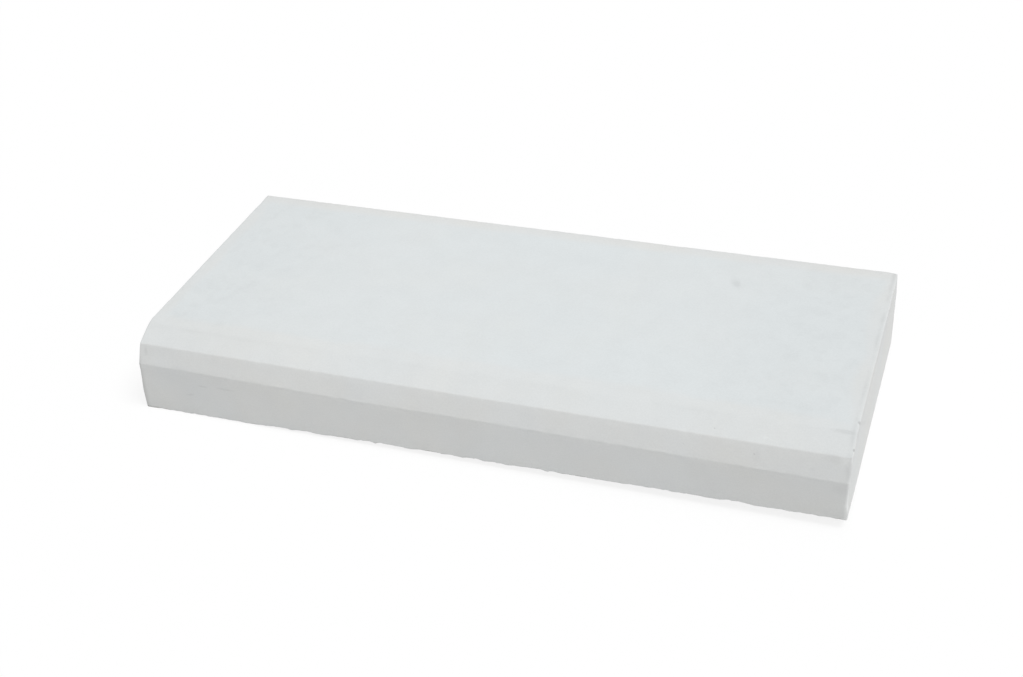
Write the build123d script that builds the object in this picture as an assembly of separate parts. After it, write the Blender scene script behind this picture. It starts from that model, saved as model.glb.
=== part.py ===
from build123d import *
from math import radians, tan
import os

# A cast concrete kerb, lying on the broad face that was struck off level at the top of its mould.
# +X runs along the kerb, +Z is up, and the bevelled nose is on the -Y side.
# The origin is at the middle of the footprint, on the level the kerb lies on. Sizes are in millimetres.

# overall block, measured on the footprint, where the mould was open and the kerb is largest
length = 500.0
width = 210.0
thickness = 60.0

# the mould's walls lean in by this much, in degrees, so that the casting comes out
draft = 1.0

# the nose: a shallow facet falls from the broad face, and a steep one runs from there to the front
shallow_facet_depth = 17.0
shallow_facet_drop = 8.5
steep_facet_depth = 6.0
steep_facet_drop = 14.5

# how the mould rounds the edges it made; the struck edges round the footprint stay sharp
crown_radius = 20.0
facet_radius = 2.0
back_arris_radius = 1.0
end_arris_radius = 1.5

nose_drop = shallow_facet_drop + steep_facet_drop


def lean(height):
    """How far a mould wall has leaned in at this height above the footprint."""
    return height * tan(radians(draft))


def section():
    """The kerb's cross-section, seen along +X: y runs to the back and z up."""
    shoulder = thickness - nose_drop
    steep_foot = (-width / 2 + lean(shoulder), shoulder)
    facet_break = (steep_foot[0] + steep_facet_depth, steep_foot[1] + steep_facet_drop)
    crown = (facet_break[0] + shallow_facet_depth, thickness)
    back_top = (width / 2 - lean(thickness), thickness)
    outline = Polyline(
        (-width / 2, 0),
        steep_foot,
        facet_break,
        crown,
        back_top,
        (width / 2, 0),
        close=True,
    )
    face = make_face(outline)

    for corner, radius in (
        (crown, crown_radius),
        (facet_break, facet_radius),
        (steep_foot, facet_radius),
        (back_top, back_arris_radius),
    ):
        here = face.vertices().sort_by_distance((*corner, 0))[0]
        face = fillet(here, radius)
    return face


def between_ends():
    """The wedge of space between the mould's two end walls, as wide as the kerb and more."""
    footprint = Rectangle(length, 2 * width)
    return extrude(footprint, amount=thickness, taper=draft)


def kerb():
    """The whole casting: the section carried along the kerb, cut by the end walls, ends softened."""
    bar = extrude(Plane.YZ * section(), amount=length / 2, both=True)
    block = bar & between_ends()

    ends = block.faces().sort_by(Axis.X)
    arrises = [
        edge
        for end in (ends[0], ends[-1])
        for edge in end.edges()
        if edge.bounding_box().max.Z > end_arris_radius
    ]
    return fillet(arrises, end_arris_radius)


os.makedirs("parts", exist_ok=True)
casting = kerb()
casting.label = "kerb"
export_step(casting, "parts/kerb.step")
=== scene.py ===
"""A cast concrete kerb, dressed for its picture.

The kerb was moulded with its broad face down: that face, the bevelled nose, the back and both ends
took the smooth skin of the mould, and the face that it now lies on was struck off by hand.
All places are in metres in the part's own frame: +X along the kerb, -Y out of the nose, +Z up.
"""

import logging
import math
from dataclasses import dataclass, field
from enum import Enum
from functools import cached_property

import bpy
import numpy as np
from mathutils import Matrix, Vector


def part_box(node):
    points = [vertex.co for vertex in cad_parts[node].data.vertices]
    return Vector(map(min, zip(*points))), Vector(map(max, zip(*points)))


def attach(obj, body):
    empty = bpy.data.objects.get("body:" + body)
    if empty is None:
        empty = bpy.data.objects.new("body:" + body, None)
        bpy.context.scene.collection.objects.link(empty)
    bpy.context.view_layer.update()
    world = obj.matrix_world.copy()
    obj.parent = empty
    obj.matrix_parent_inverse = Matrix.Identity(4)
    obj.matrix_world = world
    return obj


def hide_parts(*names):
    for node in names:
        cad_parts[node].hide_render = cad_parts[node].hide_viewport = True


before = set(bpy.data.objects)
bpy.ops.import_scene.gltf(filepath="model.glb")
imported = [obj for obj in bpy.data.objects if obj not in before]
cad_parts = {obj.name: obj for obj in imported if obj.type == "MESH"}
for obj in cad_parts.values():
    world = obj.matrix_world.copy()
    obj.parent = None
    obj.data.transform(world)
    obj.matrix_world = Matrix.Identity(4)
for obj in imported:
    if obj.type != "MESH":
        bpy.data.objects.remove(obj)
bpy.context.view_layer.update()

MM = 0.001
NODE = "kerb"
BODY = "root"

# one number for each of X, Y and Z; the two ends of a range; red, green, blue and alpha
Triple = tuple[float, float, float]
Range = tuple[float, float]
Colour = tuple[float, float, float, float]
Socket = bpy.types.NodeSocket

log = logging.getLogger("kerb")


class Side(Enum):
    """The four stretches of the section, in the order in which the outline runs round it."""

    NOSE = 0
    TOP = 1
    BACK = 2
    BED = 3


class End(Enum):
    """The two ends of the kerb, by the direction along X in which each faces."""

    LEFT = -1
    RIGHT = 1


def mm(*lengths: float) -> tuple[float, ...]:
    """Turns lengths in millimetres into metres."""
    return tuple(length * MM for length in lengths)


def smooth_step(value: np.ndarray, low: float, high: float) -> np.ndarray:
    """Rises from 0 at low to 1 at high along the curve 3t^2 - 2t^3."""
    t = np.clip((value - low) / (high - low), 0.0, 1.0)
    return t * t * (3.0 - 2.0 * t)


def bell(distance: np.ndarray, reach: float) -> np.ndarray:
    """Falls from 1 at distance 0 along the curve exp(-(distance / reach)^2)."""
    return np.exp(-((distance / reach) ** 2))


@dataclass(frozen=True)
class Spacing:
    """How points crowd together near chosen places along a line.

    The density is 1 / pitch, plus 1 / close pitch times exp(-(distance / reach)^2) for each place.
    """

    pitch: float
    close_pitch: float
    reach: float
    fine_steps: int = 4000

    def spread(self, start: float, stop: float, count: int, places: np.ndarray) -> np.ndarray:
        """Cuts a stretch of the line into parts that each hold the same share of the density.

        Args:
            start: Where the stretch begins.
            stop: Where it ends.
            count: Number of parts.
            places: The places along the line to crowd round.

        Returns:
            The count + 1 cuts, both ends included.
        """
        fine = np.linspace(start, stop, self.fine_steps)
        near = bell(fine[:, None] - np.asarray(places)[None, :], self.reach).sum(axis=1)
        density = 1.0 / self.pitch + near / self.close_pitch
        running = np.concatenate([[0.0], np.cumsum((density[1:] + density[:-1]) / 2)])
        return np.interp(np.linspace(0.0, running[-1], count + 1), running, fine)


@dataclass(frozen=True)
class LatticeNoise:
    """Smooth random values in space, the same on every run.

    Each corner of a cubic lattice has a random value between -1 and 1. Inside a cell the eight
    corner values are blended with the weight 3t^2 - 2t^3 along each axis. The wavelength is the
    size of a cell, the same or one for each axis. Each further layer has half the wavelength and
    half the height of the one before.
    """

    seed: int
    wavelength: float | Triple
    layer_count: int = 1
    table_size: int = 4096
    primes: tuple[int, int, int] = (73856093, 19349663, 83492791)

    def layer(self, points: np.ndarray, cell: np.ndarray) -> np.ndarray:
        """One layer of the noise.

        Args:
            points: Places in metres, shape (n, 3).
            cell: Size of a lattice cell in metres, the same or one for each axis.

        Returns:
            One value between -1 and 1 for each point.
        """
        values = np.random.default_rng(self.seed).uniform(-1.0, 1.0, self.table_size)
        primes = np.array(self.primes, dtype=np.int64)
        scaled = points / cell
        base = np.floor(scaled)
        part = scaled - base
        ease = part * part * (3.0 - 2.0 * part)
        total = np.zeros(len(points))
        for corner in np.ndindex(2, 2, 2):
            step = np.array(corner)
            mixed = np.bitwise_xor.reduce((base + step).astype(np.int64) * primes, axis=1)
            weight = np.prod(np.where(step == 1, ease, 1.0 - ease), axis=1)
            total += weight * values[np.abs(mixed) % self.table_size]
        return total

    def at(self, points: np.ndarray) -> np.ndarray:
        """The noise at some points: all its layers, over the most that they can add up to.

        Args:
            points: Places in metres, shape (n, 3).

        Returns:
            One value between -1 and 1 for each point.
        """
        widest = np.asarray(self.wavelength, dtype=float)
        total = np.zeros(len(points))
        for number in range(self.layer_count):
            total += self.layer(points, widest / 2**number) / 2**number
        return total / (2.0 - 0.5 ** (self.layer_count - 1))

    def share(self, points: np.ndarray) -> np.ndarray:
        """The noise carried to the range from 0 to 1."""
        return 0.5 + 0.5 * self.at(points)


@dataclass(frozen=True)
class Walls:
    """How far some points lie inside each drawn side of the kerb, in metres."""

    left: np.ndarray
    right: np.ndarray
    front: np.ndarray
    back: np.ndarray
    top: np.ndarray

    @property
    def end(self) -> np.ndarray:
        """The distance to the nearer end."""
        return np.minimum(self.left, self.right)


@dataclass(frozen=True)
class Section:
    """The kerb's cross-section: a block with a two-step nose, each corner rounded by an arc."""

    width: float
    thickness: float
    draft: float = math.radians(1.0)
    shallow_depth: float = 17.0 * MM
    shallow_drop: float = 8.5 * MM
    steep_depth: float = 6.0 * MM
    steep_drop: float = 14.5 * MM
    crown_radius: float = 20.0 * MM
    nose_radius: float = 1.5 * MM
    back_radius: float = 1.0 * MM
    bed_radius: float = 0.6 * MM
    arc_steps: int = 33

    @property
    def shoulder(self) -> float:
        """Height at which the steep facet meets the front face."""
        return self.thickness - self.shallow_drop - self.steep_drop

    def lean(self, height: float | np.ndarray) -> float | np.ndarray:
        """How far a moulded side has leaned in at a height above the bed."""
        return height * math.tan(self.draft)

    def walls(self, points: np.ndarray, half_length: float) -> Walls:
        """How far inside the drawn sides some points lie, measured on the level of each point.

        Args:
            points: Places on the drawn skin, shape (n, 3).
            half_length: Half the length of the kerb's footprint.

        Returns:
            The distances, one to each side for each point.
        """
        lean = self.lean(points[:, 2])
        return Walls(
            left=half_length - lean + points[:, 0],
            right=half_length - lean - points[:, 0],
            front=points[:, 1] + self.width / 2 - lean,
            back=self.width / 2 - lean - points[:, 1],
            top=self.thickness - points[:, 2],
        )

    def corners(self) -> tuple[np.ndarray, np.ndarray]:
        """The corners before rounding, from the bed's front edge up, over and back.

        Returns:
            The (y, z) places, shape (6, 2), and the radius at each.
        """
        front = -self.width / 2
        foot = (front + self.lean(self.shoulder), self.shoulder)
        brow = (foot[0] + self.steep_depth, foot[1] + self.steep_drop)
        crown = (brow[0] + self.shallow_depth, self.thickness)
        back_top = (self.width / 2 - self.lean(self.thickness), self.thickness)
        places = [(front, 0.0), foot, brow, crown, back_top, (self.width / 2, 0.0)]
        radii = [
            self.bed_radius,
            self.nose_radius,
            self.nose_radius,
            self.crown_radius,
            self.back_radius,
            self.bed_radius,
        ]
        return np.array(places), np.array(radii)

    def trace(self, inset: float = 0.0) -> np.ndarray:
        """The closed row of points along the rounded section, drawn in by an inset.

        The straight sides move in by the inset and meet at new corners. Each corner's arc turns
        evenly from the normal of one side to the normal of the next, about a centre that lies
        radius / cos(half the turn) inside the corner, and its radius shrinks with the inset.

        Args:
            inset: How far inside the section the row runs, in metres.

        Returns:
            The (y, z) points, shape (corners * arc_steps + 1, 2), the last on the first.
        """
        place, radius = self.corners()
        onward = np.roll(place, -1, axis=0) - place
        onward /= np.linalg.norm(onward, axis=1, keepdims=True)
        out = np.stack([-onward[:, 1], onward[:, 0]], axis=1)
        last_out = np.roll(out, 1, axis=0)
        first_angle = np.arctan2(last_out[:, 1], last_out[:, 0])
        turn = np.arctan2(out[:, 1], out[:, 0]) - first_angle
        turn = np.mod(turn + math.pi, 2 * math.pi) - math.pi
        mean_out = out + last_out
        mean_out /= np.linalg.norm(mean_out, axis=1, keepdims=True)
        shrunk = radius * np.exp(-inset / radius)
        reach = (inset + shrunk) / np.cos(turn / 2)
        centre = place - mean_out * reach[:, None]
        angle = first_angle[:, None] + turn[:, None] * np.linspace(0.0, 1.0, self.arc_steps)
        arc = np.stack([np.cos(angle), np.sin(angle)], axis=2) * shrunk[:, None, None]
        row = (centre[:, None, :] + arc).reshape(-1, 2)
        return np.vstack([row, row[:1]])


@dataclass(frozen=True)
class Outline:
    """Chosen points round a section, close together at its arrises and wide apart on its flats.

    A point is kept as its rank along the traced row, so it finds its place at any inset.
    """

    section: Section
    upright_count: int = 40
    level_count: int = 86
    spacing: Spacing = Spacing(pitch=3.0 * MM, close_pitch=0.5 * MM, reach=4.0 * MM)

    @property
    def counts(self) -> dict[Side, int]:
        """How finely the outline is cut.

        Returns:
            The number of points on each stretch.
        """
        return {
            Side.NOSE: self.upright_count,
            Side.TOP: self.level_count,
            Side.BACK: self.upright_count,
            Side.BED: self.level_count,
        }

    def ranks(self) -> np.ndarray:
        """Spreads the points, closest at the arrises, and gives their ranks along the traced row.

        Returns:
            Fractional ranks, from the middle of the bed's front arris up, over and back.
        """
        row = self.section.trace()
        steps = np.linalg.norm(np.diff(row, axis=0), axis=1)
        length = np.concatenate([[0.0], np.cumsum(steps)])
        middles = length[self.section.arc_steps // 2 : -1 : self.section.arc_steps]
        bed_front, foot, brow, _, back_top, bed_back = middles
        end = bed_front + length[-1]
        arrises = np.array([bed_front, foot, brow, back_top, bed_back, end])
        stops = [bed_front, brow, back_top, bed_back, end]
        chosen = [
            self.spacing.spread(start, stop, count, arrises)[:-1]
            for start, stop, count in zip(stops[:-1], stops[1:], self.counts.values())
        ]
        along = np.mod(np.concatenate(chosen), length[-1])
        return np.interp(along, length, np.arange(len(length)))

    def at(self, ranks: np.ndarray, inset: float) -> np.ndarray:
        """The outline's points on the row drawn in by an inset.

        Args:
            ranks: Their ranks along the row.
            inset: How far inside the section the row runs, in metres.

        Returns:
            The (y, z) places, shape (n, 2).
        """
        row = self.section.trace(inset)
        rank = np.arange(len(row))
        return np.stack([np.interp(ranks, rank, row[:, axis]) for axis in (0, 1)], axis=1)


@dataclass(frozen=True)
class Skin:
    """A closed mesh in the making: its points and its four-cornered faces."""

    points: np.ndarray
    quads: np.ndarray

    def normals(self) -> np.ndarray:
        """The outward unit normal at each point: the sum of its faces' area normals.

        Returns:
            Unit vectors, shape (n, 3).
        """
        corner = self.points[self.quads]
        face = np.cross(corner[:, 2] - corner[:, 0], corner[:, 3] - corner[:, 1])
        total = np.zeros_like(self.points)
        for column in self.quads.T:
            for axis in range(3):
                total[:, axis] += np.bincount(column, face[:, axis], len(total))
        return total / np.linalg.norm(total, axis=1, keepdims=True)

    def to_mesh(self, name: str) -> bpy.types.Mesh:
        """Writes the points and faces into a new smooth-shaded mesh.

        Args:
            name: The mesh's name.

        Returns:
            The mesh.
        """
        mesh = bpy.data.meshes.new(name)
        mesh.vertices.add(len(self.points))
        mesh.vertices.foreach_set("co", self.points.astype(np.float32).ravel())
        mesh.loops.add(self.quads.size)
        mesh.loops.foreach_set("vertex_index", self.quads.astype(np.int32).ravel())
        mesh.polygons.add(len(self.quads))
        mesh.polygons.foreach_set("loop_start", np.arange(0, self.quads.size, 4, dtype=np.int32))
        mesh.polygons.foreach_set("use_smooth", np.ones(len(self.quads), dtype=bool))
        mesh.update(calc_edges=True)
        mesh.validate()
        return mesh


@dataclass(frozen=True)
class Blemish:
    """A shallow hollow in the skin: its place, its reach along each axis and its depth."""

    place: Triple
    reach: Triple
    depth: float

    def hollow(self, points: np.ndarray) -> np.ndarray:
        """The depth at each point: depth times exp(-(distance / reach)^2), one reach an axis."""
        gap = (points - np.array(self.place)) / np.array(self.reach)
        return self.depth * np.exp(-np.sum(gap * gap, axis=1))


@dataclass(frozen=True)
class Burr:
    """A lump of slurry that set on the rim: how far it reaches, stands out and hangs down.

    Its hang is below 0 where the rim is pulled up instead.
    """

    place: Triple
    reach: float
    swell: float
    hang: float

    def near(self, points: np.ndarray) -> np.ndarray:
        """1 at the lump's middle, falling as exp(-(distance / reach)^2) with the distance."""
        return bell(np.linalg.norm(points - np.array(self.place), axis=1), self.reach)


@dataclass(frozen=True)
class Relief:
    """Everything that makes the casting differ from its drawing."""

    section: Section
    half_length: float
    blemishes: tuple[Blemish, ...]
    burrs: tuple[Burr, ...]
    wave_height: float = 0.22 * MM
    wave: LatticeNoise = LatticeNoise(21, 90.0 * MM, 2)
    arris_height: float = 0.45 * MM
    arris_wear: LatticeNoise = LatticeNoise(31, 7.0 * MM, 3)
    arris_reach: float = 2.2 * MM
    torn_height: float = 2.0 * MM
    tears: LatticeNoise = LatticeNoise(11, 16.0 * MM, 2)
    fringe_height: float = 1.1 * MM
    fringe: LatticeNoise = LatticeNoise(12, 4.5 * MM, 2)
    usual_noise: float = 0.25
    rim_reach: float = 6.0 * MM
    rim_height: float = 12.0 * MM
    struck_height: float = 1.0 * MM
    struck_bumps: LatticeNoise = LatticeNoise(41, 24.0 * MM, 4)
    struck_edge: float = 1.0 * MM
    drag_height: float = 0.5 * MM
    drag: LatticeNoise = LatticeNoise(51, mm(160.0, 9.0, 50.0))
    shoulder_fall: float = 0.9 * MM
    shoulder_reach: float = 7.0 * MM
    shoulder_sag: float = 0.9 * MM
    sag_place: float = -0.085
    sag_reach: float = 0.060
    low_corner: float = 7.2 * MM
    low_start: float = -0.180
    low_bow: float = 0.85
    low_reach: float = 12.0 * MM
    plumb_reach: float = 40.0 * MM
    undercut: float = 0.5 * MM

    def arris_distance(self, points: np.ndarray) -> np.ndarray:
        """Distance from each point to the nearest moulded arris of the nose, back or ends.

        Args:
            points: Places on the drawn skin, shape (n, 3).

        Returns:
            One distance for each point, in metres.
        """
        (_, foot, brow, _, back_top, _), _ = self.section.corners()
        across = points[:, None, 1:] - np.array([foot, brow, back_top])
        along_kerb = np.linalg.norm(across, axis=2).min(axis=1)
        to = self.section.walls(points, self.half_length)
        to_side = np.minimum(np.minimum(to.front, to.back), to.top)
        return np.minimum(along_kerb, np.hypot(to.end, np.maximum(to_side, 0.0)))

    def rim_distance(self, points: np.ndarray) -> np.ndarray:
        """Distance inwards from each point to the nearest edge of the footprint.

        Args:
            points: Places on the drawn skin, shape (n, 3).

        Returns:
            One distance for each point, in metres.
        """
        to_end = self.half_length - np.abs(points[:, 0])
        to_side = self.section.width / 2 - np.abs(points[:, 1])
        return np.maximum(np.minimum(to_end, to_side), 0.0)

    def low_face(self, points: np.ndarray) -> np.ndarray:
        """How far the struck face was left low of its level, towards the right front corner.

        Along the front edge this is the corner's height times (share of the run)^bow. It fades
        inwards with exp(-distance / reach), and up the front with the square of what is left
        below the shoulder.

        Args:
            points: Places on the drawn skin, shape (n, 3).

        Returns:
            One height for each point, in metres.
        """
        run = np.clip((points[:, 0] - self.low_start) / (self.half_length - self.low_start), 0, 1)
        inward = points[:, 1] + self.section.width / 2
        low = self.low_corner * run**self.low_bow
        low *= np.exp(-inward / self.low_reach)
        return low * np.clip(1.0 - points[:, 2] / self.section.shoulder, 0.0, 1.0) ** 2

    def shoulder_drop(self, points: np.ndarray) -> np.ndarray:
        """How far the shoulder runs out of level: it falls to the right, and sags on the way.

        Args:
            points: Places on the drawn skin, shape (n, 3).

        Returns:
            One depth for each point, in metres, fading as a bell away from the shoulder.
        """
        from_shoulder = np.hypot(
            points[:, 1] + self.section.width / 2, points[:, 2] - self.section.shoulder
        )
        drop = self.shoulder_fall * points[:, 0] / self.half_length
        drop += self.shoulder_sag * bell(points[:, 0] - self.sag_place, self.sag_reach)
        return drop * bell(from_shoulder, self.shoulder_reach)

    def plumb(self, points: np.ndarray) -> np.ndarray:
        """How far out the right end stands of its drawing, which leans in by the draft.

        Its top arris is out by the whole lean, and its foot is in by the undercut, except where
        a burr fills it out.

        Args:
            points: Places on the drawn skin, shape (n, 3).

        Returns:
            One distance along X for each point, in metres.
        """
        near = 1.0 - smooth_step(self.half_length - points[:, 0], 0.0, self.plumb_reach)
        foot = 1.0 - points[:, 2] / self.section.thickness
        for burr in self.burrs:
            foot *= 1.0 - burr.near(points)
        return near * (self.section.lean(points[:, 2]) - self.undercut * foot)

    def torn_rim(self, points: np.ndarray) -> np.ndarray:
        """How far the rim of the struck face is torn away upwards or hangs down in a fringe.

        It is the height times (|noise| - its usual value), a coarse and a fine one together. It
        fades inwards with a bell, and up the sides with the square of what is left of the rim.

        Args:
            points: Places on the drawn skin, shape (n, 3).

        Returns:
            One height for each point, in metres.
        """
        flat = points * [1, 1, 0]
        coarse = np.abs(self.tears.at(flat)) - self.usual_noise
        fine = np.abs(self.fringe.at(flat)) - self.usual_noise
        torn = self.torn_height * coarse + self.fringe_height * fine
        torn *= bell(self.rim_distance(points), self.rim_reach)
        return torn * np.clip(1.0 - points[:, 2] / self.rim_height, 0.0, 1.0) ** 2

    def lift(self, points: np.ndarray) -> np.ndarray:
        """How far each point lies over its drawn height.

        Args:
            points: Places on the drawn skin, shape (n, 3).

        Returns:
            One height for each point, from the struck face, its ragged rim and the shoulder.
        """
        low = self.low_face(points) - self.shoulder_drop(points)
        torn = self.torn_rim(points)
        for burr in self.burrs:
            near = burr.near(points)
            low -= burr.hang * near
            torn *= 1.0 - near
        return low + torn

    def depth(self, points: np.ndarray) -> np.ndarray:
        """How far each point of the skin sinks in along its own normal.

        Args:
            points: Places on the drawn skin, shape (n, 3).

        Returns:
            One depth for each point, below 0 where a burr stands out.
        """
        bed = 1.0 - smooth_step(points[:, 2], 0.0, self.struck_edge)
        wave = self.wave_height * self.wave.share(points)
        worn = self.arris_height * np.abs(self.arris_wear.at(points))
        worn *= bell(self.arris_distance(points), self.arris_reach)
        rough = self.struck_height * self.struck_bumps.share(points)
        rough += self.drag_height * self.drag.share(points)
        total = (1.0 - bed) * (wave + worn) + bed * rough
        for blemish in self.blemishes:
            total += blemish.hollow(points)
        for burr in self.burrs:
            near = burr.near(points)
            total = total * (1.0 - near) - burr.swell * near
        return total


@dataclass(frozen=True)
class Mark:
    """A stain, scratch, pale scuff, painted shade or painted highlight: an oval patch, darker or
    paler than the skin round it.

    Its reach is the half-width along each axis, its change is the share by which the colour
    rises or falls at its middle, and its turn is the oval's rotation about X, Y and Z.
    """

    place: Triple
    reach: Triple
    change: float
    turn: Triple = (0.0, 0.0, 0.0)


@dataclass(frozen=True)
class Pattern:
    """A noise pattern: its features' size, its layers of detail and the values it runs between.

    Noise below the source range gives the low value, and noise above it gives the high value.
    The stretch makes the features longer or shorter along X, Y and Z.
    """

    wavelength: float
    detail: float
    low: float
    high: float
    source: Range = (0.30, 0.70)
    stretch: Triple = (1.0, 1.0, 1.0)


@dataclass(frozen=True)
class Pits:
    """Small round holes: the middles of a scattered few of the cells of a Voronoi pattern.

    The share is that of the cells which hold a hole. A hole's wall runs from the core to the
    rim, both as shares of its radius, and its floor is darkened by painted shade in the hole.
    """

    spacing: float
    radius: float
    share: float
    painted_hole_shade: float
    core: float = 0.5
    rim: float = 1.6


@dataclass(frozen=True)
class Ripple:
    """Noise in the fine texture: its features' size, its layers of detail and its height."""

    wavelength: float
    detail: float
    height: float


class NodeBench:
    """A short way of writing the nodes of a material or a sky and the links between them."""

    # the Mix node has sockets for several kinds of value, and these are the ones for colours
    colour_inputs: tuple[int, int] = (6, 7)
    colour_output: int = 2

    def __init__(self, owner: bpy.types.Material | bpy.types.World) -> None:
        """Starts on the nodes that a new material or sky has from the first.

        Args:
            owner: The material or the sky.
        """
        owner.use_nodes = True
        self.tree = owner.node_tree

    @cached_property
    def place(self) -> Socket:
        """The place in the object's own frame, from one node that all patterns share."""
        return self.add("ShaderNodeTexCoord").outputs["Object"]

    def feed(self, node: bpy.types.Node, inputs: dict) -> bpy.types.Node:
        """Fills some of a node's sockets.

        Args:
            node: The node.
            inputs: What goes into its sockets, by name or number: a socket is linked, and any
                other value is set.

        Returns:
            The node.
        """
        for key, value in inputs.items():
            if isinstance(value, Socket):
                self.tree.links.new(value, node.inputs[key])
            else:
                node.inputs[key].default_value = value
        return node

    def add(self, kind: str, inputs: dict | None = None, **settings: object) -> bpy.types.Node:
        """Adds a node.

        Args:
            kind: Blender's name of the node's class.
            inputs: What goes into its sockets, as for feed.
            **settings: Properties of the node itself.

        Returns:
            The node.
        """
        node = self.tree.nodes.new(kind)
        for key, value in settings.items():
            setattr(node, key, value)
        return self.feed(node, inputs or {})

    def noise(
        self, wavelength: float, detail: float = 2.0, stretch: Triple = (1.0, 1.0, 1.0)
    ) -> Socket:
        """Adds noise.

        Args:
            wavelength: Size of its features, in metres.
            detail: Its layers of detail.
            stretch: How much longer the features are along X, Y and Z.

        Returns:
            A value between 0 and 1.
        """
        place = self.add("ShaderNodeVectorMath", {0: self.place, 1: stretch}, operation="DIVIDE")
        node = self.add(
            "ShaderNodeTexNoise",
            {"Vector": place.outputs[0], "Scale": 1.0 / wavelength, "Detail": detail},
        )
        return node.outputs["Fac"]

    def ripple(self, ripple: Ripple) -> Socket:
        """The height of a ripple, from 0 up."""
        return self.math("MULTIPLY", self.noise(ripple.wavelength, ripple.detail), ripple.height)

    def pits(self, pits: Pits) -> Socket:
        """Adds a scatter of small holes.

        Args:
            pits: The holes.

        Returns:
            1 on the floor of a hole, and 0 outside it.
        """
        cell = self.add("ShaderNodeTexVoronoi", {"Vector": self.place, "Scale": 1.0 / pits.spacing})
        picked = self.add("ShaderNodeSeparateColor", {"Color": cell.outputs["Color"]}).outputs[0]
        radius = pits.radius / pits.spacing
        wall = (radius * pits.core, radius * pits.rim)
        disc = self.ramp(cell.outputs["Distance"], wall, (1.0, 0.0))
        return self.math("MULTIPLY", disc, self.math("LESS_THAN", picked, pits.share))

    def math(self, operation: str, *values: Socket | float) -> Socket:
        """The result of a math node, from sockets or numbers."""
        node = self.add("ShaderNodeMath", dict(enumerate(values)), operation=operation)
        return node.outputs[0]

    def ramp(self, value: Socket, source: Range, target: Range) -> Socket:
        """Carries one range of values to another along a smooth curve, held at both ends.

        Args:
            value: The value.
            source: The two ends of its range.
            target: What those two ends become.

        Returns:
            The carried value.
        """
        inputs = {
            "Value": value,
            "From Min": source[0],
            "From Max": source[1],
            "To Min": target[0],
            "To Max": target[1],
        }
        node = self.add("ShaderNodeMapRange", inputs, interpolation_type="SMOOTHSTEP")
        return node.outputs["Result"]

    def blend(self, share: Socket, first: Socket | Colour, second: Socket | Colour) -> Socket:
        """A colour between two colours.

        Args:
            share: The second colour's share, from 0 to 1.
            first: The first colour.
            second: The second colour.

        Returns:
            The blended colour.
        """
        inputs = {0: share, **dict(zip(self.colour_inputs, (first, second)))}
        node = self.add("ShaderNodeMix", inputs, data_type="RGBA")
        return node.outputs[self.colour_output]

    def pattern(self, pattern: Pattern) -> Socket:
        """Noise carried from its middle range to the pattern's own range of values."""
        noise = self.noise(pattern.wavelength, pattern.detail, pattern.stretch)
        return self.ramp(noise, pattern.source, (pattern.low, pattern.high))

    def attribute(self, name: str) -> Socket:
        """The number that each point of the mesh holds under a name."""
        return self.add("ShaderNodeAttribute", attribute_name=name).outputs["Fac"]


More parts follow.
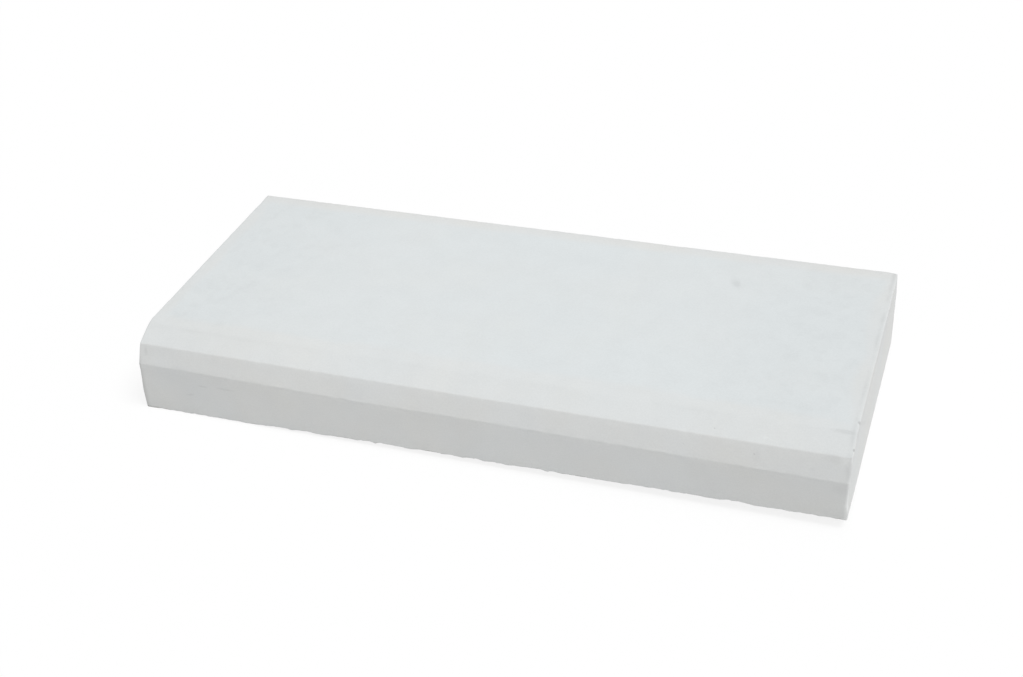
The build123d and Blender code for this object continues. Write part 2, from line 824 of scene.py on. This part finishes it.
@dataclass(frozen=True)
class Concrete:
    """Pale concrete: a smooth moulded skin with a cool bloom, and a grey sandy struck face."""

    marks: tuple[Mark, ...]
    warm_skin: Colour = (0.735, 0.742, 0.730, 1.0)
    cool_skin: Colour = (0.726, 0.742, 0.742, 1.0)
    bloom_colour: Colour = (0.715, 0.752, 0.762, 1.0)
    struck_colour: Colour = (0.560, 0.560, 0.545, 1.0)
    sand_colour: Colour = (0.380, 0.370, 0.345, 1.0)
    roughness: float = 0.72
    struck_roughness: float = 0.92
    specular: float = 0.35
    plain_shade: float = 1.009
    drift: Pattern = Pattern(50.0 * MM, 2.0, 0.0, 1.0)
    mottle: Pattern = Pattern(110.0 * MM, 3.0, 0.72, 1.0)
    cloud: Pattern = Pattern(19.0 * MM, 3.0, -0.009, 0.009)
    grain: Pattern = Pattern(1.1 * MM, 2.0, -0.016, 0.014)
    freckles: Pattern = Pattern(9.0 * MM, 2.0, 0.0, -0.022, (0.50, 0.68))
    freckle_start: float = 0.110
    freckle_full: float = 0.215
    end_dimming: float = 0.022
    # how far the grime lines darken the colour; some of these lines are painted shade
    grime_and_shade_depth: float = 0.16
    pinholes: Pits = Pits(9.0 * MM, 0.35 * MM, 0.16, 0.17)
    sand: Pattern = Pattern(1.9 * MM, 3.0, 0.0, 0.62, (0.50, 0.70))
    damp: Pattern = Pattern(65.0 * MM, 3.0, -0.075, 0.060)
    screed: Pattern = Pattern(6.5 * MM, 2.0, -0.045, 0.030, (0.34, 0.66), (24.0, 1.0, 8.0))
    pits: Pits = Pits(12.0 * MM, 0.9 * MM, 0.30, 0.30)
    ragged_wavelength: float = 2.5 * MM
    ragged_reach: float = 0.7
    mark_core: float = 0.30
    mark_rim: float = 1.20
    fine_ripple: Ripple = Ripple(0.9 * MM, 3.0, 0.10)
    skin_ripple: Ripple = Ripple(6.0 * MM, 2.0, 0.60)
    sand_ripple: Ripple = Ripple(2.2 * MM, 5.0, 3.0)
    hole_depth: float = 0.8
    ripple_strength: float = 0.6
    ripple_scale: float = 0.3 * MM

    def material(self) -> bpy.types.Material:
        """Builds the material.

        Returns:
            The material, ready for the kerb's only slot.
        """
        material = bpy.data.materials.new("concrete")
        bench = NodeBench(material)
        struck = bench.attribute("struck")
        moulded = bench.math("SUBTRACT", 1.0, struck)
        pinholes = bench.math("MULTIPLY", bench.pits(self.pinholes), moulded)
        pits = bench.math("MULTIPLY", bench.pits(self.pits), struck)

        bloom = bench.math("MULTIPLY", bench.attribute("bloom"), bench.pattern(self.mottle))
        skin = bench.blend(bench.pattern(self.drift), self.warm_skin, self.cool_skin)
        skin = bench.blend(bloom, skin, self.bloom_colour)
        sandy = bench.blend(bench.pattern(self.sand), self.struck_colour, self.sand_colour)
        base = bench.blend(struck, skin, sandy)
        shade = self.shade(bench)
        shade = bench.math("MULTIPLY_ADD", struck, self.bed_shade(bench), shade)
        # the floors of the pinholes and pits are darkened with painted shade
        shade = bench.math("MULTIPLY_ADD", pinholes, -self.pinholes.painted_hole_shade, shade)
        shade = bench.math("MULTIPLY_ADD", pits, -self.pits.painted_hole_shade, shade)
        tinted = bench.add(
            "ShaderNodeVectorMath", {0: base, "Scale": shade}, operation="SCALE"
        ).outputs[0]

        rough = bench.ramp(struck, (0.0, 1.0), (self.roughness, self.struck_roughness))
        holes = bench.math("ADD", pinholes, pits)
        surface = {
            "Base Color": tinted,
            "Roughness": rough,
            "Specular IOR Level": self.specular,
            "Normal": self.bump(bench, struck, holes),
        }
        bench.feed(bench.tree.nodes["Principled BSDF"], surface)
        return material

    def shade(self, bench: NodeBench) -> Socket:
        """What the colour is multiplied by: clouds, grain, freckles, grime with painted shade, and
        marks, among them painted shade and a painted highlight.

        Args:
            bench: The material's nodes.

        Returns:
            The factor, near 1.
        """
        shade = bench.math("ADD", bench.pattern(self.cloud), self.plain_shade)
        shade = bench.math("ADD", shade, bench.pattern(self.grain))

        along = bench.add("ShaderNodeSeparateXYZ", {0: bench.place}).outputs[0]
        near_end = bench.ramp(
            bench.math("ABSOLUTE", along), (self.freckle_start, self.freckle_full), (0.0, 1.0)
        )
        shade = bench.math("MULTIPLY_ADD", near_end, -self.end_dimming, shade)
        freckled = bench.math("MULTIPLY", near_end, bench.attribute("bloom"))
        shade = bench.math("MULTIPLY_ADD", freckled, bench.pattern(self.freckles), shade)
        # darker lines along the arrises: grime, and painted shade under the shoulder and on two
        # arrises
        shade = bench.math("MULTIPLY_ADD", bench.attribute("grime_and_shade"), -self.grime_and_shade_depth, shade)

        edge = bench.math("SUBTRACT", bench.noise(self.ragged_wavelength), 0.5)
        for mark in self.marks:
            shade = bench.math("MULTIPLY", shade, self.stain(bench, mark, edge))
        return shade

    def bed_shade(self, bench: NodeBench) -> Socket:
        """What the struck face adds to the shade: damp patches, and streaks along the kerb."""
        return bench.math("ADD", bench.pattern(self.damp), bench.pattern(self.screed))

    def stain(self, bench: NodeBench, mark: Mark, edge: Socket) -> Socket:
        """What the colour is multiplied by near a mark, and 1 beyond it.

        Args:
            bench: The material's nodes.
            mark: The mark.
            edge: Noise about 0 that makes the outline ragged.

        Returns:
            The factor.
        """
        oval = {"Location": mark.place, "Rotation": mark.turn, "Scale": mark.reach}
        inside = bench.add(
            "ShaderNodeMapping", {"Vector": bench.place, **oval}, vector_type="TEXTURE"
        ).outputs[0]
        gap = bench.add("ShaderNodeVectorMath", {0: inside}, operation="LENGTH").outputs["Value"]
        ragged = bench.math("MULTIPLY_ADD", edge, self.ragged_reach, gap)
        return bench.ramp(ragged, (self.mark_core, self.mark_rim), (1.0 + mark.change, 1.0))

    def bump(self, bench: NodeBench, struck: Socket, holes: Socket) -> Socket:
        """The skin's fine texture, far below the size of the mesh's faces.

        Args:
            bench: The material's nodes.
            struck: 1 on the struck face and 0 on the moulded skin.
            holes: 1 on the floor of a pinhole or a pit, and 0 elsewhere.

        Returns:
            The normal with the texture on it.
        """
        height = bench.math("ADD", bench.ripple(self.fine_ripple), bench.ripple(self.skin_ripple))
        sandy = bench.math("MULTIPLY", bench.ripple(self.sand_ripple), struck)
        height = bench.math("ADD", height, sandy)
        height = bench.math("MULTIPLY_ADD", holes, -self.hole_depth, height)
        node = bench.add(
            "ShaderNodeBump",
            {"Height": height, "Strength": self.ripple_strength, "Distance": self.ripple_scale},
        )
        return node.outputs["Normal"]


@dataclass(frozen=True)
class Line:
    """A line beside an arris: how far off it runs, how wide it is and its weight.

    Across the line the weight falls as exp(-((distance - offset) / reach)^2).
    """

    offset: float
    reach: float
    weight: float

    def at(self, distance: np.ndarray) -> np.ndarray:
        """The line's weight at a distance from the arris."""
        return self.weight * bell(distance - self.offset, self.reach)


@dataclass(frozen=True)
class WeatheringAndShade:
    """Where each finish shows on the skin: the struck face, the bloom, and the grime with painted
    shade.
    """

    section: Section
    half_length: float
    struck_low: float = 0.1 * MM
    struck_high: float = 1.2 * MM
    struck_waver: float = 1.6 * MM
    struck_limit: LatticeNoise = LatticeNoise(81, 14.0 * MM, 3)
    bloom_border: float = 13.0 * MM
    bloom_start: float = 0.4
    bloom_waver: float = 4.0 * MM
    bloom_limit: LatticeNoise = LatticeNoise(61, 30.0 * MM, 2)
    thin_bloom: float = 0.38
    bare_back: Range = mm(5.0, 15.0)
    bare_end: Range = mm(0.2, 1.0)
    bare_brow: Range = mm(-0.3, 0.5)
    breaks: LatticeNoise = LatticeNoise(71, 14.0 * MM, 3)
    break_range: Range = (-0.45, 0.35)
    level_range: Range = mm(1.0, 9.0)
    front_range: Range = mm(0.3, 1.0)
    # painted shade: the shadow under the shoulder, on the front face
    shoulder: Line = Line(-1.3 * MM, 1.1 * MM, 0.14)
    crown: Line = Line(-2.8 * MM, 1.9 * MM, 0.13)
    # painted shade: the left front corner, which turns away from the lamp
    left_corner: Line = Line(0.0, 2.0 * MM, 1.00)
    left_end: Line = Line(0.0, 1.2 * MM, 0.35)
    right_end: Line = Line(2.8 * MM, 1.2 * MM, 0.60)
    # painted shade that dulls the lamp's highlight on the right end's top arris
    right_ridge: Line = Line(0.0, 1.2 * MM, 0.28)
    back: Line = Line(0.0, 6.0 * MM, 0.14)

    def masks(self, points: np.ndarray) -> dict[str, np.ndarray]:
        """Each finish's share, and the painted shade's, from 0 to 1, at some points.

        Args:
            points: Places on the drawn skin, shape (n, 3).

        Returns:
            The shares, under the names by which the material reads them.
        """
        return {
            "struck": self.struck(points),
            "bloom": self.bloom(points),
            "grime_and_shade": self.grime_and_shade(points),
        }

    def struck(self, points: np.ndarray) -> np.ndarray:
        """The struck face, with a ragged upper limit a little way up the sides.

        Args:
            points: Places on the drawn skin, shape (n, 3).

        Returns:
            One share for each point.
        """
        ragged = self.struck_limit.at(points * [1, 1, 0])
        limit = self.struck_waver * np.maximum(ragged, 0.0)
        return 1.0 - smooth_step(points[:, 2] - limit, self.struck_low, self.struck_high)

    def bloom(self, points: np.ndarray) -> np.ndarray:
        """The cool bloom: full on the broad face, thin on the shallow facet and the border.

        Args:
            points: Places on the drawn skin, shape (n, 3).

        Returns:
            One share for each point.
        """
        (_, _, brow, crown, back_top, _), _ = self.section.corners()
        to_end = self.section.walls(points, self.half_length).end
        to_back = back_top[0] - points[:, 1]
        border = np.minimum(np.minimum(points[:, 1] - crown[0], to_back), to_end)
        border += self.bloom_waver * self.bloom_limit.at(points)
        inner = smooth_step(border, self.bloom_start * self.bloom_border, self.bloom_border)
        facing_up = smooth_step(points[:, 2] - brow[1], *self.bare_brow)
        facing_up *= smooth_step(to_end, *self.bare_end)
        facing_up *= smooth_step(to_back, *self.bare_back)
        return facing_up * (self.thin_bloom + (1.0 - self.thin_bloom) * inner)

    def grime_and_shade(self, points: np.ndarray) -> np.ndarray:
        """Thin darker lines along the arrises, some of them broken: dirt where the mould's joints
        bled, and painted shade under the shoulder, round the left front corner and on the right
        end's arris.

        Args:
            points: Places on the drawn skin, shape (n, 3).

        Returns:
            One share for each point.
        """
        to = self.section.walls(points, self.half_length)
        (_, _, _, crown, _, _), _ = self.section.corners()
        past_crown = points[:, 1] - crown[0]
        over_shoulder = points[:, 2] - self.section.shoulder

        broken = smooth_step(self.breaks.at(points), *self.break_range)
        level = 1.0 - smooth_step(to.top, *self.level_range)
        on_front = 1.0 - smooth_step(to.front, *self.front_range)
        lines = [
            # the painted shadow under the shoulder
            self.shoulder.at(over_shoulder) * on_front * broken,
            self.crown.at(past_crown) * level * broken,
            # painted shade on the left front corner
            self.left_corner.at(np.hypot(to.left, to.front)),
            self.left_end.at(to.left) * level * broken,
            self.right_end.at(to.right) * level * broken,
            # painted shade over the highlight on the right end's arris
            self.right_ridge.at(to.right) * level,
            self.back.at(np.hypot(to.back, to.top)),
        ]
        return np.clip(np.sum(lines, axis=0), 0.0, 1.0)


@dataclass
class Kerb:
    """The one piece: its section carried along its length, and a patch that closes each end."""

    low: Vector
    high: Vector
    station_count: int = 346
    end_radius: float = 1.2 * MM
    end_steps: int = 6
    front_inset: float = 0.5 * MM
    spacing: Spacing = Spacing(pitch=1.6 * MM, close_pitch=1.2 * MM, reach=6.0 * MM)
    half_length: float = field(init=False)
    section: Section = field(init=False)
    outline: Outline = field(init=False)
    relief: Relief = field(init=False)
    weathering_and_shade: WeatheringAndShade = field(init=False)
    finish: Concrete = field(init=False)

    def __post_init__(self) -> None:
        """Takes the section's sizes from the box of the CAD solid."""
        size = self.high - self.low
        self.half_length = size.x / 2
        self.section = Section(width=size.y, thickness=size.z)
        self.outline = Outline(self.section)
        self.relief = Relief(self.section, self.half_length, self.blemishes(), self.burrs())
        self.weathering_and_shade = WeatheringAndShade(self.section, self.half_length)
        self.finish = Concrete(self.marks())

    def blemishes(self) -> tuple[Blemish, ...]:
        """The hollows that show: the spot, the crease, and the chips along the right end.

        Returns:
            The hollows.
        """
        top = self.high.z
        return (
            Blemish((0.1428, 0.0636, top), mm(3.2, 4.2, 4.0), 0.20 * MM),
            Blemish((0.2415, -0.0825, top - 1.0 * MM), mm(6.0, 1.4, 4.0), 0.25 * MM),
            Blemish((0.2490, -0.0725, top), mm(2.0, 1.6, 3.0), 0.60 * MM),
            Blemish((0.2470, -0.0985, top - 9.0 * MM), mm(4.0, 2.5, 3.0), 0.80 * MM),
            Blemish((0.2495, 0.1035, top - 1.0 * MM), mm(4.0, 4.0, 8.0), 0.70 * MM),
        )

    def burrs(self) -> tuple[Burr, ...]:
        """The lumps at the two front corners of the struck face, the right one pulled up.

        Returns:
            The lumps.
        """
        front = self.low.y
        return (
            Burr((self.low.x, front, 10.0 * MM), 15.0 * MM, 1.0 * MM, 0.0),
            Burr((0.2470, front, 7.5 * MM), 7.0 * MM, 0.9 * MM, -1.1 * MM),
        )

    def marks(self) -> tuple[Mark, ...]:
        """The stains and scratches that show, with some painted shade and a painted highlight, from
        the broad face down to the front face.

        Returns:
            The marks.
        """
        top = self.high.z
        front = self.low.y + self.front_inset
        slant = (0.0, 0.0, math.radians(-66.0))
        falling = (math.radians(-36.0), 0.0, 0.0)
        rising = (0.0, math.radians(-15.0), 0.0)
        return (
            # broad face: the spot with its halo, and a pale scuff
            Mark((0.1428, 0.0636, top), mm(5.4, 3.4, 4.0), -0.068, slant),
            Mark((0.1424, 0.0645, top), mm(10.0, 4.8, 4.0), -0.036, slant),
            Mark((-0.1913, -0.0109, top), mm(8.0, 5.0, 4.0), 0.014),
            # along the crown: painted shade in the crease at the right, faint streaks at the left
            Mark((0.2418, -0.0826, top - 1.0 * MM), mm(8.0, 2.0, 3.0), -0.085),
            Mark((-0.2130, -0.0846, top - 1.7 * MM), mm(10.0, 2.0, 3.0), -0.025),
            Mark((-0.1750, -0.0848, top - 1.8 * MM), mm(18.0, 1.8, 3.0), -0.020),
            # right end arris: painted shade in a notch and in a pinhole, and a scratch down the end
            Mark((0.2496, -0.0724, top - 0.6 * MM), mm(1.8, 1.8, 2.0), -0.230),
            Mark((0.2500, -0.0560, 47.0 * MM), mm(3.0, 25.0, 1.6), -0.035, falling),
            # painted shade in the pinhole
            Mark((0.2498, -0.0931, top - 6.0 * MM), mm(1.3, 1.2, 1.2), -0.330),
            # right end: two specks low on it
            Mark((0.2500, 0.0429, 13.9 * MM), mm(3.0, 2.0, 1.5), -0.140),
            Mark((0.2500, 0.0085, 10.7 * MM), mm(3.0, 2.0, 2.8), -0.080),
            # nose: a pale patch at the left, small scuffs at both ends
            Mark((-0.2400, -0.0940, top - 4.5 * MM), mm(16.0, 9.0, 7.0), 0.020),
            Mark((-0.2437, -0.1010, top - 12.5 * MM), mm(1.7, 3.0, 5.0), -0.070),
            Mark((0.2410, -0.0990, top - 10.0 * MM), mm(12.0, 3.0, 4.0), -0.055),
            Mark((0.2485, -0.1010, top - 16.0 * MM), mm(3.5, 4.0, 10.0), -0.070),
            Mark((0.1915, -0.1015, top - 16.0 * MM), mm(3.5, 3.0, 6.0), -0.030),
            Mark((0.2262, -0.1035, top - 18.5 * MM), mm(3.0, 2.0, 1.1), -0.060),
            Mark((0.1955, -0.0941, top - 6.4 * MM), mm(1.8, 1.4, 1.4), 0.035),
            # front face: three short scratches, a dark patch under the nose, a painted shadow above
            # the lip at the right corner, and a painted highlight down the right arris
            Mark((-0.1998, front, 26.6 * MM), mm(3.8, 2.0, 1.0), -0.070),
            Mark((-0.1820, front, 27.4 * MM), mm(8.5, 2.0, 1.1), -0.060),
            Mark((-0.2110, front, 17.6 * MM), mm(4.2, 2.0, 1.0), -0.060, rising),
            Mark((0.2455, front, 31.0 * MM), mm(7.0, 2.5, 5.5), -0.035),
            # painted shadow: a line above the lip at the right front corner
            Mark((0.2445, front, 9.5 * MM), mm(4.5, 2.5, 1.1), -0.035),
            # painted highlight where the rounded arris would catch the lamp
            Mark((0.2494, front, 17.0 * MM), mm(1.9, 1.7, 22.0), 0.150),
        )

    def stations(self) -> tuple[np.ndarray, np.ndarray]:
        """Where the section's copies stand along the kerb, and how far each is drawn in.

        Near an end the inset follows a quarter circle: at the angle a from the end plane the
        station is radius * (1 - cos a) along and the inset is radius * (1 - sin a). Between the
        two circles the stations stand closer together near the ends.

        Returns:
            The places along X and the insets.
        """
        angle = np.linspace(0.0, math.pi / 2, self.end_steps + 1)
        along = self.end_radius * (1.0 - np.cos(angle))
        inset = self.end_radius * (1.0 - np.sin(angle))
        inner = self.half_length - self.end_radius
        spaces = self.station_count - 2 * self.end_steps - 1
        middle = self.spacing.spread(-inner, inner, spaces, np.array([-inner, inner]))
        left = -self.half_length + along[:-1]
        place = np.concatenate([left, middle, -left[::-1]])
        drawn_in = np.concatenate([inset[:-1], np.zeros(len(middle)), inset[:-1][::-1]])
        return place, drawn_in

    def tube(self) -> tuple[np.ndarray, np.ndarray]:
        """The section carried from end to end, each end wall leaning in with the draft.

        Returns:
            The points as a grid, shape (stations, outline, 3), and the grid's faces.
        """
        ranks = self.outline.ranks()
        place, drawn_in = self.stations()
        insets, which = np.unique(drawn_in, return_inverse=True)
        rings = np.stack([self.outline.at(ranks, inset) for inset in insets])[which]
        shrink = 1.0 - self.section.lean(rings[..., 1]) / self.half_length
        grid = np.concatenate([(place[:, None] * shrink)[..., None], rings], axis=2)
        ids = np.arange(grid.shape[0] * grid.shape[1]).reshape(grid.shape[:2])
        ahead = np.roll(ids, -1, axis=1)
        faces = np.stack([ids[:-1], ids[1:], ahead[1:], ahead[:-1]], axis=2)
        return grid, faces.reshape(-1, 4)

    def patch(self, ring: np.ndarray, ring_ids: np.ndarray, first_id: int, end: End) -> Skin:
        """Closes an end with a grid that hangs between the four stretches of its last ring.

        A grid point is the blend of the two level stretches, plus the blend of the two upright
        ones, less the blend of the four corners. The shares are the mean distances along them.

        Args:
            ring: The ring's points, shape (outline, 3).
            ring_ids: The ring's point numbers.
            first_id: The number of the first new point.
            end: Which end it is.

        Returns:
            The new inner points, and the faces over them and the ring.
        """
        across = self.outline.level_count
        up = self.outline.upright_count
        walk = np.arange(across + 1)
        climb = np.arange(up + 1)
        bottom_at = (-walk) % len(ring)
        top_at = up + walk
        front_at = climb
        back_at = 2 * up + across - climb
        bottom, top, front, back = (ring[at] for at in (bottom_at, top_at, front_at, back_at))
        u = self.shares(bottom, top)[None, :, None]
        v = self.shares(front, back)[:, None, None]
        level = (1 - v) * bottom[None] + v * top[None]
        upright = (1 - u) * front[:, None] + u * back[:, None]
        corners = (1 - v) * ((1 - u) * bottom[0] + u * bottom[-1])
        corners = corners + v * ((1 - u) * top[0] + u * top[-1])
        inner = (level + upright - corners)[1:-1, 1:-1].reshape(-1, 3)
        ids = np.empty((up + 1, across + 1), dtype=int)
        ids[0], ids[-1] = ring_ids[bottom_at], ring_ids[top_at]
        ids[:, 0], ids[:, -1] = ring_ids[front_at], ring_ids[back_at]
        ids[1:-1, 1:-1] = first_id + np.arange(len(inner)).reshape(up - 1, across - 1)
        faces = np.stack([ids[:-1, :-1], ids[:-1, 1:], ids[1:, 1:], ids[1:, :-1]], axis=2)
        faces = faces.reshape(-1, 4)
        return Skin(inner, faces if end is End.RIGHT else faces[:, ::-1])

    @staticmethod
    def shares(one: np.ndarray, other: np.ndarray) -> np.ndarray:
        """How far along two rows their points lie, on the mean of both.

        Args:
            one: The points of one row, shape (n, 3).
            other: The points of the other.

        Returns:
            The share of the way, from 0 to 1, of each pair of points.
        """
        total = 0.0
        for row in (one, other):
            run = np.concatenate([[0.0], np.cumsum(np.linalg.norm(np.diff(row, axis=0), axis=1))])
            total = total + run / run[-1] / 2
        return total

    def drawn_skin(self) -> Skin:
        """The closed skin as it was drawn, before any relief.

        Returns:
            The tube with a patch on each end.
        """
        grid, faces = self.tube()
        ring_size = grid.shape[1]
        points = [grid.reshape(-1, 3)]
        quads = [faces]
        total = grid.shape[0] * ring_size
        for end, row in ((End.LEFT, 0), (End.RIGHT, grid.shape[0] - 1)):
            ids = row * ring_size + np.arange(ring_size)
            lid = self.patch(grid[row], ids, total, end)
            points.append(lid.points)
            quads.append(lid.quads)
            total += len(lid.points)
        return Skin(np.vstack(points), np.vstack(quads))

    def cast_skin(self, drawn: Skin) -> Skin:
        """The skin with its relief: each point sinks along its normal, then moves out and up.

        Args:
            drawn: The skin as drawn.

        Returns:
            The skin of the casting, which stays inside the drawn box.
        """
        moved = drawn.points - drawn.normals() * self.relief.depth(drawn.points)[:, None]
        moved[:, 0] += self.relief.plumb(drawn.points)
        moved[:, 2] += self.relief.lift(drawn.points)
        inside = np.clip(moved, np.array(self.low), np.array(self.high))
        return Skin(inside, drawn.quads)

    def build(self) -> bpy.types.Object:
        """Makes the piece and dresses it.

        Returns:
            The finished object, which stands for the CAD solid.
        """
        drawn = self.drawn_skin()
        cast = self.cast_skin(drawn)
        mesh = cast.to_mesh("kerb_casting")
        # the masks hold the finishes and the painted shade along some arrises
        for name, values in self.weathering_and_shade.masks(drawn.points).items():
            mesh.attributes.new(name, "FLOAT", "POINT").data.foreach_set(
                "value", values.astype(np.float32)
            )
        mesh.materials.append(self.finish.material())
        piece = bpy.data.objects.new("kerb_casting", mesh)
        bpy.context.scene.collection.objects.link(piece)
        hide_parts(NODE)
        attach(piece, BODY)
        log.info("%s: %d points, %d faces", piece.name, len(cast.points), len(cast.quads))
        return piece


@dataclass(frozen=True)
class Studio:
    """A pale floor, an even sky and one soft lamp high on the right."""

    floor_size: float = 12.0
    floor_colour: Colour = (0.80, 0.80, 0.80, 1.0)
    sky_strength: float = 0.55
    lamp_strength: float = 0.504 * math.pi
    lamp_softness: float = math.radians(24.0)
    lamp_direction: Triple = (0.2240, -0.0433, 0.4490)
    shadow_share: float = 0.16

    def floor(self) -> bpy.types.Object:
        """A level sheet under the kerb, white to the camera apart from the kerb's shadow.

        Returns:
            The floor.
        """
        half = self.floor_size / 2
        mesh = bpy.data.meshes.new("floor")
        corners = [(-half, -half, 0.0), (half, -half, 0.0), (half, half, 0.0), (-half, half, 0.0)]
        mesh.from_pydata(corners, [], [(0, 1, 2, 3)])
        material = bpy.data.materials.new("floor")
        bench = NodeBench(material)
        nodes = bench.tree.nodes
        nodes.remove(nodes["Principled BSDF"])
        seen = self.seen_directly(bench)
        grey = (self.shadow_share,) * 3 + (1.0,)
        bounce = bench.add("ShaderNodeBsdfDiffuse", {"Color": self.floor_colour}).outputs[0]
        shaded = bench.add("ShaderNodeBsdfDiffuse", {"Color": grey}).outputs[0]
        glow = bench.add("ShaderNodeEmission", {"Strength": 1.0 - self.shadow_share}).outputs[0]
        pale = bench.add("ShaderNodeAddShader", {0: shaded, 1: glow}).outputs[0]
        choice = bench.add("ShaderNodeMixShader", {0: seen, 1: bounce, 2: pale}).outputs[0]
        bench.feed(nodes["Material Output"], {"Surface": choice})
        mesh.materials.append(material)
        floor = bpy.data.objects.new("floor", mesh)
        bpy.context.scene.collection.objects.link(floor)
        return floor

    @staticmethod
    def seen_directly(bench: NodeBench) -> Socket:
        """Tells what is seen from what only lights.

        Args:
            bench: The nodes of the floor or the sky.

        Returns:
            1 where the camera, a reflection or a clear surface shows the surface, and else 0.
        """
        ray = bench.add("ShaderNodeLightPath").outputs
        either = bench.math("MAXIMUM", ray["Is Camera Ray"], ray["Is Glossy Ray"])
        return bench.math("MAXIMUM", either, ray["Is Transmission Ray"])

    def sky(self) -> None:
        """An even white sky that lights from all round and shows white to the camera."""
        world = bpy.data.worlds.new("sky")
        bpy.context.scene.world = world
        bench = NodeBench(world)
        seen = self.seen_directly(bench)
        strength = bench.add(
            "ShaderNodeMapRange", {"Value": seen, "To Min": self.sky_strength, "To Max": 1.0}
        ).outputs[0]
        background = {"Color": (1.0, 1.0, 1.0, 1.0), "Strength": strength}
        bench.feed(bench.tree.nodes["Background"], background)

    def lamp(self) -> bpy.types.Object:
        """A distant soft lamp.

        Returns:
            The lamp.
        """
        light = bpy.data.lights.new("soft_lamp", "SUN")
        light.energy = self.lamp_strength
        light.angle = self.lamp_softness
        lamp = bpy.data.objects.new("soft_lamp", light)
        lamp.rotation_mode = "QUATERNION"
        lamp.rotation_quaternion = Vector(self.lamp_direction).to_track_quat("Z", "Y")
        bpy.context.scene.collection.objects.link(lamp)
        return lamp

    def build(self) -> None:
        """Sets up the floor, the sky and the lamp, and plain colour handling."""
        self.floor()
        self.sky()
        self.lamp()
        bpy.context.scene.view_settings.view_transform = "Standard"


@dataclass(frozen=True)
class PhotoCamera:
    """The camera of the photograph, as fitted to the kerb's outline."""

    azimuth: float = math.radians(21.811)
    elevation: float = math.radians(34.635)
    roll: float = math.radians(-4.381)
    distance: float = 1.07376
    target: Triple = (-0.00556, 0.0, 0.03036)
    focal_px: float = 1501.25
    photo_width_px: int = 1023
    sensor: float = 36.0

    def build(self) -> bpy.types.Object:
        """Places the camera on its line of sight and rolls it about that line.

        Returns:
            The camera, set as the scene's own.
        """
        back = Vector(
            (
                math.sin(self.azimuth) * math.cos(self.elevation),
                -math.cos(self.azimuth) * math.cos(self.elevation),
                math.sin(self.elevation),
            )
        )
        right = Vector((0.0, 0.0, 1.0)).cross(back).normalized()
        up = back.cross(right)
        turned_right = right * math.cos(self.roll) + up * math.sin(self.roll)
        turned_up = up * math.cos(self.roll) - right * math.sin(self.roll)
        data = bpy.data.cameras.new("photo_camera")
        data.sensor_width = self.sensor
        data.lens = self.focal_px / self.photo_width_px * self.sensor
        camera = bpy.data.objects.new("photo_camera", data)
        turn = Matrix((turned_right, turned_up, back)).transposed().to_4x4()
        place = Vector(self.target) + back * self.distance
        camera.matrix_world = Matrix.Translation(place) @ turn
        bpy.context.scene.collection.objects.link(camera)
        bpy.context.scene.camera = camera
        return camera


def main() -> None:
    """Builds the kerb, its surroundings and the camera."""
    logging.basicConfig(level=logging.INFO, format="%(name)s: %(message)s")
    Kerb(*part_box(NODE)).build()
    Studio().build()
    PhotoCamera().build()


if __name__ == "__main__":
    main()
